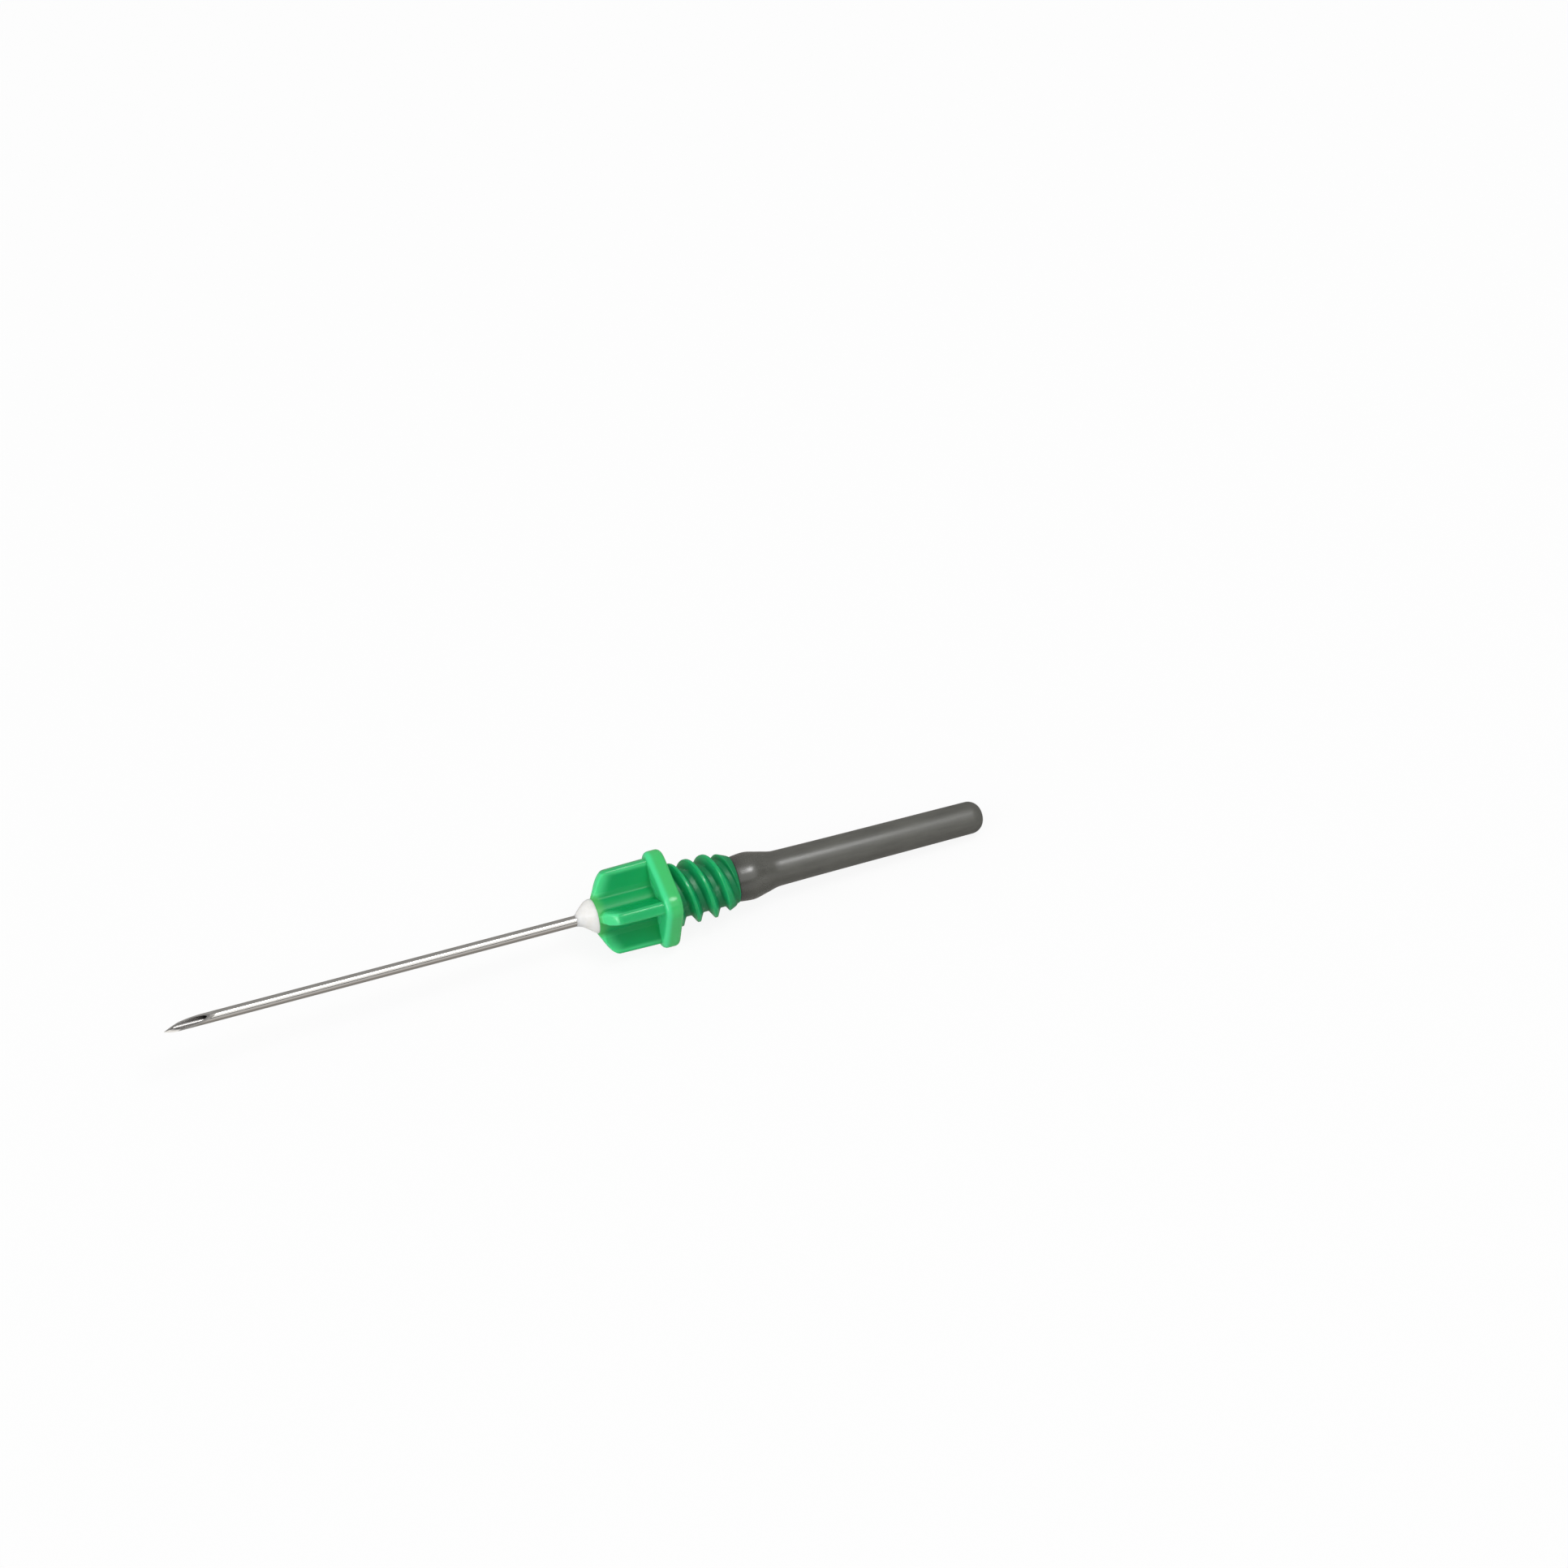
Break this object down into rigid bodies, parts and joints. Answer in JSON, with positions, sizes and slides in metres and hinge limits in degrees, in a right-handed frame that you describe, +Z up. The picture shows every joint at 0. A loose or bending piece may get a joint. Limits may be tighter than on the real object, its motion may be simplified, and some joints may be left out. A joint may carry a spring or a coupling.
{
  "type": "blood collection needle",
  "caption": "Double-pointed blood collection needle: steel cannula, winged green hub with a square flange and coarse thread, and a closed rubber valve sleeve.",
  "frame": {"origin": "middle of the footprint on the table that the needle lies on", "axes": "+X along the needle towards the rubber sleeve, +Z up. The needle lies at rest on one flat of its flange and on the sleeve's round end, so its axis falls a few degrees towards +X"},
  "size_m": [0.0634, 0.006, 0.0061],
  "materials": {
    "hub_plastic": "moulded green polypropylene, slightly translucent",
    "cannula_steel": "drawn and polished stainless tube",
    "adhesive": "cured clear adhesive, milky",
    "sleeve_rubber": "satin warm grey rubber"
  },
  "bodies": {
    "root": {"hub": "hub_plastic", "cannula": "cannula_steel", "adhesive_bead": "adhesive", "valve_sleeve": "sleeve_rubber"}
  },
  "joints": []
}
